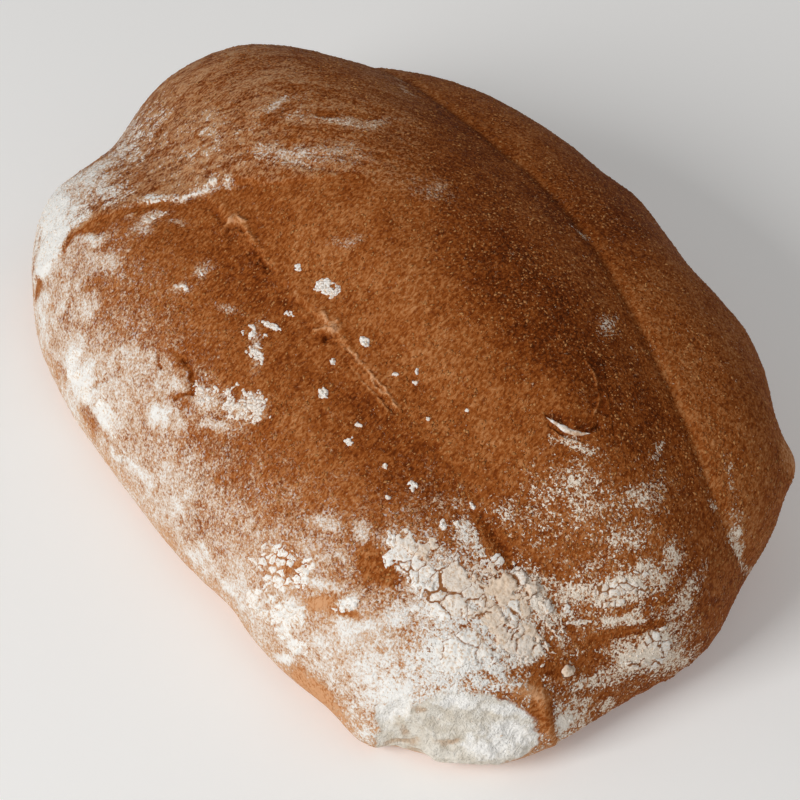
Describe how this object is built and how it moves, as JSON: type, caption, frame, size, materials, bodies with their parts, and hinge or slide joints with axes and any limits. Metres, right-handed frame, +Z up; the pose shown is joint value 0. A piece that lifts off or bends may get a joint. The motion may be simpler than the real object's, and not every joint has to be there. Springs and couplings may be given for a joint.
{
  "type": "telera roll",
  "caption": "Soft oval bread roll with lengthwise lobes, browned crust, caked white flour and one torn end where the pale crumb shows.",
  "frame": {"origin": "middle of the roll's box on the flat base that it rests on", "axes": "+X along the lobes towards the torn end, +Y across the lobes towards the low lobe, +Z up"},
  "size_m": [0.1476, 0.0926, 0.0482],
  "materials": {
    "crust": "baked crust, matte and dusty"
  },
  "bodies": {
    "root": {"roll": "crust"}
  },
  "joints": []
}
